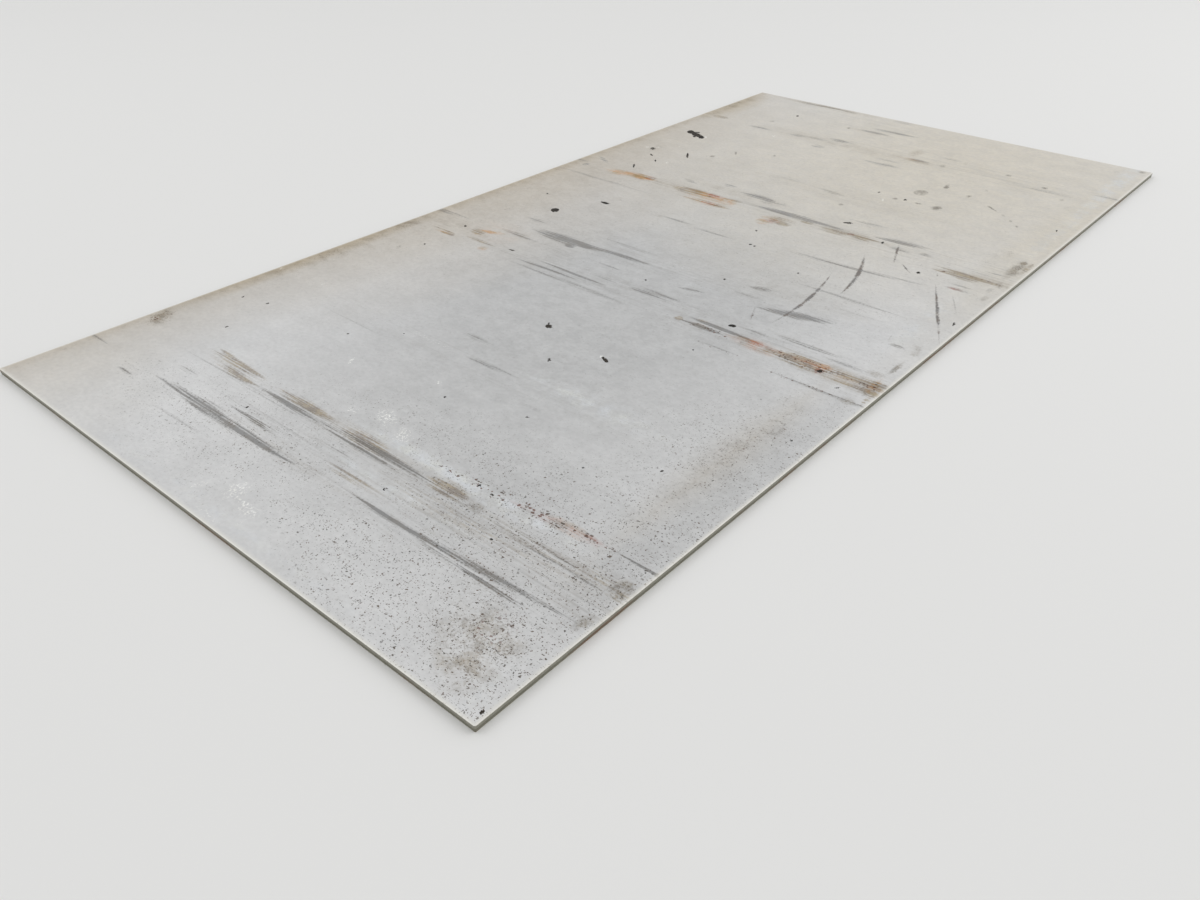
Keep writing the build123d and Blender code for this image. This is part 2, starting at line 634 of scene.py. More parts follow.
GREY_DRAG = Coat(
    name="grey_drag",
    colours=((0.165, 0.165, 0.162), (0.15, 0.14, 0.125)),
    cover=0.78,
    breakup=Breakup.FIBRES,
    spread=1.35,
    rougher=-0.07,
    cross=strokes(
        (-1172, -560, 520, 44, 0.26), (-1294, -140, 600, 46, 0.20), (-1284, -640, 30, 44, 0.15),
        (-1235, -300, 420, 60, 0.16), (-332, -230, 560, 60, 0.2), (400, -560, 320, 70, 0.2),
        (-155, -220, 520, 60, 0.22), (-272, -420, 240, 50, 0.2), (-1297, -40, 400, 21, 1.1),
        (-1293, 190, 350, 34, 0.6), (-1291, 290, 475, 12, 0.8), (-1293, -60, 120, 12, 0.9),
        (-1276, -800, -110, 14, 0.8, -0.045, 0.00006), (-1283, -450, -190, 13, 0.9, -0.02),
        (-1291, -480, -370, 9, 0.7), (-1290, -650, -460, 7, 1.2), (-1324, 490, 565, 10, 0.8),
        (-1355, 185, 380, 9, 0.45), (-1257, 45, 245, 18, 0.55), (-1237, 390, 480, 13, 0.65),
        (-1190, 45, 565, 11, 0.35), (-1210, -110, -40, 7, 0.65), (-1175, -15, 245, 16, 0.9),
        (-1183, -215, 20, 9, 0.9), (-1165, -310, 10, 13, 1.0), (-1184, -730, -500, 9, 0.7),
        (-1171, -660, -560, 9, 0.5), (-1165, -645, -415, 44, 0.25), (-1292, 660, 745, 9, 0.65),
        (-797, -160, 60, 17, 0.58), (-858, -300, -180, 10, 0.4), (-859, 115, 585, 9, 0.35),
        (-725, 5, 130, 22, 0.4), (-366, -205, 415, 20, 0.38), (-340, 90, 340, 12, 0.6),
        (-316, 20, 280, 14, 0.75), (-285, 0, 110, 12, 0.4), (-220, 40, 160, 12, 0.4),
        (-283, -140, -10, 14, 0.8), (-264, -180, -40, 14, 0.65), (-165, 205, 440, 46, 1.1),
        (-156, 150, 330, 24, 0.5), (-147, 10, 210, 17, 0.8), (-85, -5, 280, 19, 0.35),
        (-110, 425, 510, 24, 0.5), (-225, 345, 510, 24, 0.6, 0.05), (-235, 585, 745, 21, 0.75),
        (-285, -450, -350, 22, 0.55), (-146, -540, -310, 36, 1.0, -0.24), (-344, -355, -220, 18, 1.2),
        (-320, -420, -215, 16, 1.1), (-1096, -780, -650, 8, 1.5), (-76, -315, -240, 28, 0.65, -0.2),
        (-130, -330, -220, 12, 0.45), (-44, -630, -460, 14, 0.35), (12, -650, -290, 17, 0.48),
        (-263, -640, -410, 17, 0.65), (-283, -710, -560, 20, 0.35), (-405, -450, -300, 10, 0.5),
        (-415, -735, -475, 12, 0.55), (-197, -205, -90, 16, 0.42, -0.26),
        (187, -640, -130, 22, 0.58, -0.094, 0.000233), (143, -55, 115, 18, 0.5), (154, 100, 230, 19, 0.55),
        (277, 220, 765, 17, 0.36), (278, 450, 550, 17, 0.42), (405, -215, 60, 30, 0.9),
        (406, -245, -180, 12, 0.5), (470, 20, 165, 30, 0.85), (456, 15, 75, 42, 0.55),
        (462, -35, 35, 18, 0.45), (380, -460, -385, 24, 0.65), (391, -525, -470, 17, 0.6),
        (428, -505, -320, 34, 0.7, -0.115), (495, -345, -210, 24, 0.48, -0.08), (243, -700, -610, 16, 0.65),
        (266, -690, -610, 12, 0.55), (373, -720, -610, 12, 0.36), (393, -710, -655, 12, 0.45),
        (430, 630, 722, 22, 0.55, 0.5), (380, 690, 748, 24, 0.5), (450, 295, 370, 22, 0.5, 0.2),
        (655, -130, 20, 28, 0.4, 0.12), (672, -10, 230, 22, 0.2), (998, -120, 35, 34, 0.55),
        (1045, -110, 20, 22, 0.4), (1111, -175, -70, 25, 0.7), (1195, -245, -155, 22, 0.55),
        (1095, -690, -420, 28, 0.34), (1160, -745, -660, 30, 0.4), (1077, 430, 540, 30, 0.55),
        (1090, 280, 380, 25, 0.55), (1100, 200, 310, 40, 0.28), (1131, 130, 245, 30, 0.75),
        (1297, 60, 210, 27, 0.75), (1343, -35, 210, 26, 0.66), (1475, 270, 610, 38, 0.38),
        (1480, 50, 180, 34, 0.4),
    ),
    spots=spots(
        (-185, 270, 18, 20, 0.7), (-131, -675, 10, 22, 0.5), (290, -714, 22, 10, 0.35),
        (357, 692, 17, 14, 0.45), (501, 213, 24, 28, 0.35), (1028, 212, 19, 32, 0.45),
        (-162, 238, 14, 30, 0.6), (-1300, -600, 90, 120, 0.12), (-240, 250, 60, 130, 0.15),
    ),
)
ORANGE_RUST = Coat(
    name="orange_rust",
    colours=((0.55, 0.27, 0.085), (0.37, 0.235, 0.07)),
    cover=0.66,
    breakup=Breakup.SMEARED,
    spread=1.2,
    rougher=0.2,
    dulls_metal=0.8,
    cross=strokes(
        (-258, 450, 545, 26, 1.2, -0.25), (367, 490, 625, 46, 1.4), (381, 405, 575, 42, 1.6),
        (385, 110, 330, 46, 0.75), (1108, -170, -30, 20, 0.4), (325, 90, 270, 34, 0.55),
        (-338, -540, -350, 54, 0.4), (355, 90, 300, 90, 0.35), (345, -80, -5, 44, 0.6),
        (-345, 560, 640, 22, 0.45), (-335, -700, -560, 50, 0.18),
    ),
    spots=spots(
        (-330, -602, 26, 20, 0.55), (374, 141, 30, 36, 0.8), (384, 475, 26, 34, 0.7),
        (308, -28, 22, 26, 0.9), (-330, -722, 46, 10, 0.4), (-356, 437, 19, 18, 0.5),
        (-1100, -560, 18, 60, 0.35), (-250, 480, 90, 120, 0.12),
    ),
)
RED_RUST = Coat(
    name="red_rust",
    colours=((0.38, 0.12, 0.075), (0.15, 0.065, 0.045)),
    cover=0.75,
    breakup=Breakup.SMEARED,
    spread=1.2,
    rougher=0.25,
    dulls_metal=0.9,
    cross=strokes(
        (-327, -490, -385, 20, 0.6), (-337, -520, -350, 56, 0.32), (-330, -650, -490, 34, 0.35),
        (-1104, -645, -420, 24, 0.45, -0.07), (391, 150, 230, 30, 0.5), (328, 120, 200, 26, 0.4),
        (-335, -740, -640, 34, 0.2),
    ),
    spots=spots(
        (-345, -602, 14, 12, 2.4), (391, 445, 18, 22, 0.9), (391, 201, 20, 22, 0.8),
        (327, 179, 16, 24, 0.8), (328, -48, 20, 28, 0.6), (391, -272, 12, 12, 0.6),
        (243, -647, 10, 24, 0.6), (-1098, -610, 12, 26, 0.5),
    ),
)
GRIME = Coat(
    name="grime",
    colours=((0.24, 0.195, 0.14), (0.13, 0.11, 0.085)),
    cover=0.85,
    breakup=Breakup.VEINS,
    rougher=0.15,
    dulls_metal=0.5,
    along=lengthways(
        (-632, -1080, -380, 100, 0.24), (705, -1010, -280, 80, 0.55),
        (728, -1500, 1500, 40, 0.35), (-648, 420, 640, 90, 0.4), (728, 1080, 1420, 50, 0.4),
    ),
    spots=spots(
        (-1385, -635, 80, 76, 0.9), (-1452, -664, 44, 50, 0.65), (-1145, 716, 56, 36, 0.9, 40),
        (-1400, -690, 70, 40, 0.45), (-380, 728, 100, 36, 0.5), (-720, -640, 170, 44, 0.2),
        (460, -708, 90, 26, 0.25), (-1330, -560, 120, 60, 0.35),
    ),
)
DROP_RIMS = Coat(
    name="drop_rims",
    colours=((0.20, 0.165, 0.12), (0.16, 0.145, 0.12)),
    cover=0.32,
    breakup=Breakup.PATCHES,
    spots=spots(
        (-599, -648, 26, 20, 0.8, 20), (-757, -643, 20, 14, 0.35, 70), (-690, -636, 17, 12, 0.4, 40),
        (-502, -633, 30, 19, 0.5, 25), (829, -267, 22, 18, 1.3),
    ),
    hollow=True,
)
DROPS = Coat(
    name="drops",
    colours=((0.20, 0.18, 0.145), (0.13, 0.115, 0.09)),
    cover=0.72,
    breakup=Breakup.PATCHES,
    rougher=0.1,
    dulls_metal=0.4,
    spots=spots(
        (-345, -602, 10, 8, 1.3), (736, -362, 25, 19, 0.95), (732, -231, 12, 10, 0.9),
        (739, -303, 8, 14, 0.8), (829, -267, 31, 26, 0.8), (925, -305, 16, 10, 1.2), (897, -391, 14, 10, 1.2),
        (945, -300, 18, 8, 0.6, 10), (580, -132, 11, 10, 0.7), (696, 424, 13, 11, 0.8),
        (777, 384, 19, 5, 0.9, 31), (842, 270, 19, 6, 0.6, 31), (1161, -408, 12, 11, 0.8),
        (1121, -539, 13, 12, 1.0), (1045, -617, 19, 10, 0.6), (1288, 239, 13, 9, 0.9),
        (844, -486, 29, 5, 1.1, 55), (868, -442, 14, 5, 0.6, 25), (808, -535, 14, 6, 0.8, 30),
        (781, -569, 13, 6, 0.7, 30), (753, -598, 15, 5, 0.9, 28), (1479, -722, 22, 14, 0.7),
        (1430, -657, 18, 11, 0.4), (1178, 495, 16, 13, 0.4), (980, -412, 18, 6, 0.4, 20),
        (640, 628, 40, 28, 0.45), (-500, 616, 16, 10, 0.5, 40), (665, 405, 30, 18, 0.25),
    ),
)
SCRATCHES = Coat(
    name="scratches",
    colours=((0.16, 0.155, 0.15), (0.15, 0.12, 0.10)),
    cover=0.95,
    breakup=Breakup.PATCHES,
    along=lengthways(
        (-397, -250, 150, 14, 1.4, 0.106, 0.00055), (-417, 10, 315, 16, 1.6, 0.29, 0.00075),
        (-428, 275, 435, 12, 1.2, 0.38), (-497, 245, 303, 11, 1.2, 1.0), (-669, -75, 255, 13, 1.4, 0.5),
        (-683, 85, 225, 8, 0.6, 0.57), (-574, 278, 308, 8, 0.8, 0.4), (-338, -240, -165, 9, 0.8, 0.45),
        (-645, -130, -75, 6, 0.6, 0.25),
    ),
)
PEPPER = Coat(
    name="pepper",
    colours=((0.085, 0.08, 0.07), (0.12, 0.085, 0.06)),
    cover=0.95,
    breakup=Breakup.PEPPER,
    cross=strokes(
        (-1390, -820, -60, 380, 3.4), (-1200, -820, -120, 320, 2.6), (-1060, -790, 260, 380, 1.1),
        (-760, -790, -380, 760, 1.2), (-1300, -350, 640, 460, 1.0), (0, -900, 900, 3400, 0.35),
    ),
    spots=spots((-1365, -620, 100, 95, 1.6)),
)
SPATTER = Coat(
    name="spatter",
    colours=((0.14, 0.06, 0.04), (0.075, 0.055, 0.04)),
    cover=0.85,
    breakup=Breakup.SPATTER,
    rougher=0.2,
    dulls_metal=0.8,
    cross=strokes(
        (-1106, -690, -220, 32, 4.2, -0.07), (-333, -670, -440, 56, 1.8), (-343, -420, -220, 32, 1.8),
        (-405, -470, -280, 16, 1.1), (-415, -725, -475, 18, 1.1), (321, -640, -520, 18, 1.2),
        (338, -740, -600, 30, 0.8), (277, 430, 600, 14, 0.6), (-332, -742, -620, 56, 1.2),
        (388, -360, -180, 40, 0.5), (328, 80, 220, 26, 0.5),
    ),
    spots=spots(
        (-1362, -628, 70, 64, 0.5), (-1140, 712, 50, 34, 0.6), (-700, -636, 120, 40, 0.35),
        (-640, 720, 120, 34, 0.3), (455, -716, 70, 20, 0.2),
    ),
)
CHALK = Coat(
    name="chalk",
    colours=((0.88, 0.88, 0.86), (0.82, 0.82, 0.78)),
    cover=0.8,
    breakup=Breakup.FLECKS,
    rougher=0.3,
    dulls_metal=0.9,
    cross=strokes(
        (-1483, -120, 15, 22, 0.8), (-1060, -190, 90, 60, 0.25), (-1420, -160, 90, 70, 0.25),
        (-797, 15, 265, 46, 0.6), (-1153, -215, -135, 8, 0.6), (-1102, -640, -300, 22, 0.35, -0.07),
    ),
    spots=spots(
        (-1432, -104, 22, 34, 0.9), (-1412, -34, 34, 30, 0.95, 20), (-1446, 36, 16, 30, 0.7, 70),
        (-1098, -118, 40, 26, 0.9, 60), (-1080, -44, 26, 46, 1.0, 160), (-1104, 30, 18, 26, 0.8),
        (-976, 200, 17, 5, 2.0, 25), (-916, -18, 9, 6, 1.6, 30), (-776, 575, 7, 5, 1.4),
        (-793, 737, 8, 5, 1.2), (-1490, 430, 8, 5, 1.2, 30), (545, 500, 15, 7, 1.4, 20),
        (696, -208, 21, 5, 1.5, 28), (711, 574, 15, 5, 0.9, 35), (1028, 391, 18, 7, 1.1, 28),
        (631, 655, 13, 7, 1.3, 30), (655, 625, 8, 7, 1.3), (856, 568, 13, 7, 1.6, 30),
        (-1425, -75, 7, 22, 1.2), (-603, -204, 10, 5, 1.5, 20), (-1461, -120, 15, 5, 0.8),
    ),
)
FLAKES = Coat(
    name="flakes",
    colours=((0.012, 0.010, 0.008), (0.03, 0.024, 0.018)),
    cover=1.0,
    breakup=Breakup.CRISP,
    rougher=0.35,
    dulls_metal=1.0,
    spots=spots(
        (877, 648, 18, 12, 1.6, 20), (868, 634, 22, 16, 1.6, 80), (858, 611, 21, 18, 1.6, 50),
        (851, 592, 22, 14, 1.6, 72), (841, 575, 14, 11, 1.6, 10), (884, 622, 10, 6, 1.4, 110),
        (836, 602, 9, 6, 1.4, 30), (-346, -603, 8, 7, 1.0),
        (631, 628, 15, 12, 0.9, 40), (650, 494, 30, 4, 1.5, 34), (448, 562, 20, 3, 1.4, 37),
        (574, 589, 13, 4, 1.1, 60), (534, 541, 12, 3, 1.1, 37), (-17, 484, 17, 13, 1.6, 45),
        (124, 410, 19, 8, 1.6, 88), (461, -220, 15, 8, 1.5, 120), (396, -366, 9, 4, 1.4, 15),
        (273, -531, 8, 6, 1.6, 30), (57, -726, 11, 3, 1.3, 15), (-290, -338, 11, 8, 1.7, 130),
        (-576, -16, 11, 9, 1.6, 60), (-567, -8, 9, 3, 1.2, 40), (-609, -219, 15, 5, 1.5, 62),
        (-689, -126, 8, 5, 0.9, 30), (144, -98, 5, 4, 1.3), (142, -113, 5, 4, 1.3),
        (-312, 369, 12, 4, 1.0, 95), (-276, 591, 8, 4, 1.1, 50), (-439, 578, 6, 3, 0.9, 50),
        (70, 597, 8, 3, 1.2, 45), (1300, 460, 10, 6, 1.5, 20), (751, -167, 6, 4, 1.1, 15),
        (742, -259, 9, 5, 1.3, 15), (796, -697, 7, 3, 1.3, 12), (-226, -26, 5, 3, 1.2, 30),
        (-89, -176, 5, 3, 1.2, 30), (66, -298, 5, 3, 1.0, 25), (238, -55, 8, 4, 0.7, 40),
        (-444, -339, 3, 2, 1.2), (-384, -668, 8, 2, 1.3, 130), (-948, -72, 3, 3, 1.1),
        (-894, -255, 3, 3, 1.1), (-949, -457, 4, 3, 1.1), (-861, -574, 4, 3, 1.1),
        (-618, -702, 4, 3, 1.4), (-954, 662, 5, 3, 1.1, 40), (-935, 585, 4, 3, 1.1, 40),
        (-819, 211, 3, 3, 1.2), (-907, 308, 3, 3, 1.0), (-1233, -231, 4, 3, 1.5),
        (-1208, -479, 3, 3, 1.5), (-1477, -739, 4, 3, 1.4), (-1067, 550, 4, 3, 1.1),
        (-1237, 202, 4, 3, 1.3), (-1113, -352, 4, 3, 1.1), (-1118, -390, 5, 2, 1.2, 80),
    ),
)


# Finishes


class Level(Enum):
    """Bands on the way down the edge in which one finish, or one relief, gives way to the next.

    On that way the face is at 0, the head of the land at 1, its foot at 2, the foot of the break at 3 and
    the underside at 4.
    """

    RIM = (0.10, 0.75)
    LAND = (0.90, 1.06)
    TORN = (1.95, 2.06)
    ARRIS = (2.93, 3.05)
    UNDERSIDE = (3.6, 3.95)
    FINE_RELIEF = (1.9, 2.1)
    TEAR_STARTS = (2.0, 2.10)
    TEAR_STOPS = (3.1, 2.9)
    FOOT_FROM_ABOVE = (1.3, 2.0)
    FOOT_FROM_BELOW = (2.6, 2.0)


class FaceField:
    """What varies over the face: marks, drawn three at a time in the channels of a vector, and noise.

    Noise moves a mark by up to STRAY from where it is drawn. NO_STROKE and NO_SPOT fill the last three up.
    RING_SLOPE says how fast a hollow spot fades on both sides of its rim.
    """

    STRAY: ClassVar[float] = 8 * MM
    NO_STROKE: ClassVar[Stroke] = Stroke(0, 0, 100, 100, 0)
    NO_SPOT: ClassVar[Spot] = Spot(0, 0, 1, 1, 0)
    RING_SLOPE: ClassVar[float] = 2.4

    def __init__(self, graph: Graph, place: Wire) -> None:
        """Keep X and Y ready, each in all three channels, and the noise that marks share.

        Args:
            graph: The material's graph.
            place: The point that is coloured, in metres.
        """
        self.graph = graph
        self.place = place
        split = graph.node("ShaderNodeSeparateXYZ", None, {0: place})
        # The marks wander a little from their lines, and their rims are frayed.
        wander = graph.cloud(place, Grain.WANDER)
        fray = graph.cloud(place, Grain.FRAY)
        self.tatter = graph.cloud(place, Grain.TATTER)
        x = (wander - 0.5).times_plus(self.STRAY, graph.out(split, "X")) + (fray - 0.5) * self.STRAY
        y = (self.tatter - 0.5).times_plus(self.STRAY, graph.out(split, "Y"))
        self.x = graph.out(graph.node("ShaderNodeCombineXYZ", None, {0: x, 1: x, 2: x}))
        self.y = graph.out(graph.node("ShaderNodeCombineXYZ", None, {0: y, 1: y, 2: y}))
        self.loose = graph.out(graph.node("ShaderNodeCombineXYZ", None, {0: x, 1: y}))
        self.patch = graph.cloud(place, Grain.PATCH)
        self.hue = graph.cloud(place, Grain.HUE)
        self.stringy = graph.cloud(place, Grain.FIBRE).rise(0.34, 0.64, 0.35, 1.6)
        self.ragged = self.patch.rise(0.32, 0.62, 0.4, 1.2) * self.tatter.rise(0.35, 0.65, 0.65, 1.15)
        self.fine_dots = graph.dots(self.loose, Dots.FINE)

    @staticmethod
    def threes(marks: Sequence, nothing: object) -> Iterator[tuple]:
        """Cut a row of marks in threes, and fill the last three up with nothing."""
        filled = list(marks) + [nothing] * (-len(marks) % 3)
        return zip(filled[0::3], filled[1::3], filled[2::3])

    def strokes(self, marks: Sequence[Stroke], along_x: bool, spread: float) -> list[Wire]:
        """Draw strokes.

        Args:
            marks: The strokes.
            along_x: True if they run along X, and False if they run along Y.
            spread: How many times its width a stroke needs to fade out.

        Returns:
            A wire for each three, 0 off the strokes and rising to each one's strength on its middle line.
        """
        run, cross = (self.x, self.y) if along_x else (self.y, self.x)
        parts = []
        curved = sorted(marks, key=lambda s: not (s.lean or s.bend))
        for three in self.threes(curved, self.NO_STROKE):
            middle = [(s.start + s.end) / 2 * MM for s in three]
            half = [s.half() for s in three]
            side = [s.width * spread / 2 * MM for s in three]
            # How far off its middle line the point is, in half widths.
            off = cross.times_plus(
                tuple(1 / w for w in side), tuple(-s.across * MM / w for s, w in zip(three, side))
            )
            if any(s.lean or s.bend for s in three):
                beyond = run - tuple(middle)
                slope = tuple(-s.lean / w for s, w in zip(three, side))
                bend = tuple(-s.bend / MM / w for s, w in zip(three, side))
                off = beyond.times_plus(beyond.times_plus(bend, slope), off)
            # How far along it the point is, from -1 at its start to 1 at its end.
            reach = run.times_plus(tuple(1 / h for h in half), tuple(-m / h for m, h in zip(middle, half)))
            body = (1.0 - reach.times_plus(reach, off.size())).at_least(0.0)
            parts.append(body.weighed(tuple(s.strength for s in three)))
        return parts

    def spots(self, marks: Sequence[Spot], hollow: bool) -> list[Wire]:
        """Draw spots.

        Args:
            marks: The spots.
            hollow: True if only their rims show.

        Returns:
            A wire for each three, 0 off the spots and rising to each one's strength in its middle or on
            its rim.
        """
        parts = []
        for three in self.threes(sorted(marks, key=lambda s: not s.turn), self.NO_SPOT):
            turned = []
            for quarter, size in ((0.0, "half_long"), (90.0, "half_wide")):
                angles = [math.radians(s.turn + quarter) for s in three]
                scale = [1 / (getattr(s, size) * MM) for s in three]
                by_x = tuple(math.cos(a) * k for a, k in zip(angles, scale))
                by_y = tuple(math.sin(a) * k for a, k in zip(angles, scale))
                start = tuple(-(s.x * kx + s.y * ky) * MM for s, kx, ky in zip(three, by_x, by_y))
                if any(s.turn for s in three):
                    turned.append(self.x.times_plus(by_x, self.y.times_plus(by_y, start)))
                elif quarter:
                    turned.append(self.y.times_plus(by_y, start))
                else:
                    turned.append(self.x.times_plus(by_x, start))
            reach = turned[0].times_plus(turned[0], turned[1] * turned[1])
            body = (reach - 1.0).size().times_plus(-self.RING_SLOPE, 1.0) if hollow else 1.0 - reach
            parts.append(body.at_least(0.0).weighed(tuple(s.strength for s in three)))
        return parts

    def share(self, coat: Coat) -> Wire:
        """How much of a coat lies at a point.

        Args:
            coat: The coat.

        Returns:
            A share from 0 to 1.
        """
        cross, along, spotted = coat.fine()
        parts = self.strokes(cross, False, coat.spread) + self.strokes(along, True, coat.spread)
        parts += self.spots(spotted, coat.hollow)
        if any(coat.wide()):
            painted = self.graph.node("ShaderNodeAttribute", {"attribute_name": coat.name})
            parts.append(self.graph.out(painted, "Fac"))
        total = parts[0]
        for part in parts[1:]:
            total = total + part
        return self.broken(total, coat.breakup)

    def broken(self, body: Wire, breakup: Breakup) -> Wire:
        """Break a mark up.

        Args:
            body: Its strength as drawn.
            breakup: How it is broken up.

        Returns:
            The share that is left of it, from 0 to 1.
        """
        if breakup is Breakup.FIBRES:
            return (body * self.stringy * self.tatter.rise(0.3, 0.7, 0.7, 1.25)).rise(0.03, 0.74)
        if breakup is Breakup.SMEARED:
            return (body * self.stringy * self.ragged).at_most(1.0)
        if breakup is Breakup.THREADS:
            threads = self.graph.cloud(self.place, Grain.THREAD)
            return (body * threads.rise(0.48, 0.72)).at_most(1.0)
        if breakup is Breakup.PATCHES:
            return (body * self.ragged).rise(0.02, 0.95)
        if breakup is Breakup.VEINS:
            vein = (self.graph.cloud(self.place, Grain.VEIN) - 0.5).size().times_plus(-22.0, 1.0)
            vein = vein.at_least(0.0) * self.tatter.rise(0.35, 0.65, 0.0, 0.7)
            return (body * (vein + self.fine_dots + self.patch.rise(0.45, 0.75) * 0.5)).at_most(1.0)
        if breakup is Breakup.PEPPER:
            dots = self.fine_dots * self.ragged + self.graph.dots(self.loose, Dots.COARSE)
            return (body * dots).at_most(1.0)
        if breakup is Breakup.SPATTER:
            return (body * self.graph.dots(self.loose, Dots.SPATTER)).rise(0.05, 0.6)
        if breakup is Breakup.FLECKS:
            flecks = self.fine_dots + self.tatter.rise(0.45, 0.66, 0.0, 0.45)
            return (body * flecks).rise(0.12, 0.5)
        if breakup is Breakup.CRISP:
            torn = self.tatter.rise(0.25, 0.75, 0.3, 1.7) * self.patch.rise(0.3, 0.7, 0.6, 1.3)
            return (body * torn).rise(0.20, 0.34)
        return body.at_most(1.0)


@dataclass(frozen=True)
class FaceFinish:
    """The mill face: a pale matt skin, and coats of marks that lie on each other in order."""

    skin: tuple[Numbers, Numbers] = ((0.635, 0.637, 0.637), (0.60, 0.602, 0.602))
    roughness: float = 0.44
    rough_patches: float = 0.12
    mottle: float = 0.18
    grain: float = 0.20
    coats: tuple[Coat, ...] = (
        DULL_SKIN, TAN_FILM, CREAM_FILM, WASHED, HAZE, DUST, THREADS, BROWN_DRAG, GREY_DRAG, SMUDGES, GRIME,
        ORANGE_RUST, RED_RUST, DROP_RIMS, DROPS, SCRATCHES, PEPPER, SPATTER, CHALK, FLAKES,
    )

    def lay(self, graph: Graph, place: Wire) -> tuple[Wire, Wire, Wire]:
        """Lay the skin and its marks.

        Args:
            graph: The material's graph.
            place: The point, in metres.

        Returns:
            The colour, the roughness and the share of bare metal.
        """
        over = FaceField(graph, place)
        clouds = graph.cloud(place, Grain.FACE_CLOUDS)
        mottle = graph.cloud(place, Grain.FACE_MOTTLE)
        grain = graph.cloud(place, Grain.FACE_GRAIN)
        colour = graph.blend(clouds.rise(0.3, 0.7), *self.skin)
        rough = self.roughness + (over.patch - 0.5) * self.rough_patches
        bare = 1.0
        mixed = over.hue.rise(0.36, 0.66)
        for coat in self.coats:
            share = over.share(coat)
            colour = graph.blend(share * coat.cover, colour, graph.blend(mixed, *coat.colours))
            if coat.rougher:
                rough = share.times_plus(coat.rougher, rough)
            if coat.dulls_metal:
                bare = bare * (1.0 - share * coat.dulls_metal)
        shade = (mottle - 0.5) * self.mottle + (grain - 0.5) * self.grain + 1.0
        return graph.shaded(colour, shade), rough, bare


@dataclass(frozen=True)
class EdgeFinish:
    """The sheared edge: a drawn rim painted paler than the face, partly as a highlight, a land rubbed by the
    blade, a torn break and a dressed arris.
    """

    # The rim colour is paler than the face. It is partly the roll-over's own colour and partly a painted
    # highlight along it.
    rim: Numbers = (0.72, 0.708, 0.655)
    land: Numbers = (0.27, 0.262, 0.215)
    torn: Numbers = (0.20, 0.195, 0.155)
    arris: Numbers = (0.52, 0.50, 0.43)
    rust: Numbers = (0.19, 0.085, 0.045)
    rim_rougher: float = -0.06
    torn_rougher: float = 0.3
    arris_rougher: float = -0.25
    land_rust: float = 0.5
    torn_rust: float = 0.6
    score_shade: float = 0.8
    grit_shade: float = 1.2

    def lay(self, graph: Graph, place: Wire, down: Wire, colour: Wire, rough: Wire) -> tuple[Wire, Wire]:
        """Lay the edge's finish over the face's.

        Args:
            graph: The material's graph.
            place: The point, in metres.
            down: How far down the edge the point is, as in Level.
            colour: Colour of the face.
            rough: Roughness of the face.

        Returns:
            The colour and the roughness of the face and the edge.
        """
        score = graph.cloud(place, Grain.EDGE_SCORE)
        grit = graph.cloud(place, Grain.EDGE_GRIT)
        bloom = graph.cloud(place, Grain.EDGE_BLOOM)
        on_rim, on_land, on_torn, on_arris = (
            down.rise(*level.value) for level in (Level.RIM, Level.LAND, Level.TORN, Level.ARRIS)
        )
        # Painted highlight, in part: the rim is lightened towards the pale rim colour all round the plate.
        colour = graph.blend(on_rim * score.rise(0.2, 0.7, 0.55, 0.85), colour, self.rim)
        land = graph.blend(bloom.rise(0.56, 0.74) * self.land_rust, self.land, self.rust)
        colour = graph.blend(on_land, colour, graph.shaded(land, (score - 0.5) * self.score_shade + 1.0))
        torn = graph.blend(bloom.rise(0.50, 0.70) * self.torn_rust, self.torn, self.rust)
        colour = graph.blend(on_torn, colour, graph.shaded(torn, (grit - 0.5) * self.grit_shade + 1.0))
        colour = graph.blend(on_arris, colour, self.arris)
        rough = rough + on_rim * self.rim_rougher + on_torn * self.torn_rougher
        return colour, rough + on_arris * self.arris_rougher


@dataclass(frozen=True)
class UndersideFinish:
    """The underside: the same skin, duller, with drag lines and freckles of rust from lying on bearers."""

    skin: tuple[Numbers, Numbers] = ((0.44, 0.435, 0.42), (0.36, 0.352, 0.332))
    drag: Numbers = (0.20, 0.195, 0.185)
    freckle: Numbers = (0.27, 0.125, 0.06)
    freckle_cover: float = 0.75
    blotch_cover: float = 0.3

    def lay(self, graph: Graph, place: Wire, down: Wire, colour: Wire) -> Wire:
        """Lay the underside's finish over the others.

        Args:
            graph: The material's graph.
            place: The point, in metres.
            down: How far down the edge the point is.
            colour: Colour of the face and the edge.

        Returns:
            The colour of the whole plate.
        """
        clouds = graph.cloud(place, Grain.UNDER_CLOUDS)
        lines = graph.cloud(place, Grain.UNDER_LINES)
        blotch = graph.cloud(place, Grain.UNDER_BLOTCH)
        under = graph.blend(clouds.rise(0.3, 0.7), *self.skin)
        under = graph.blend(lines.rise(0.52, 0.70) * clouds.rise(0.35, 0.6, 0.15, 0.6), under, self.drag)
        freckles = graph.dots(place, Dots.FRECKLES) * blotch.rise(0.48, 0.66) * self.freckle_cover
        under = graph.blend(freckles + blotch.rise(0.60, 0.78) * self.blotch_cover, under, self.freckle)
        return graph.blend(down.rise(*Level.UNDERSIDE.value), colour, under)


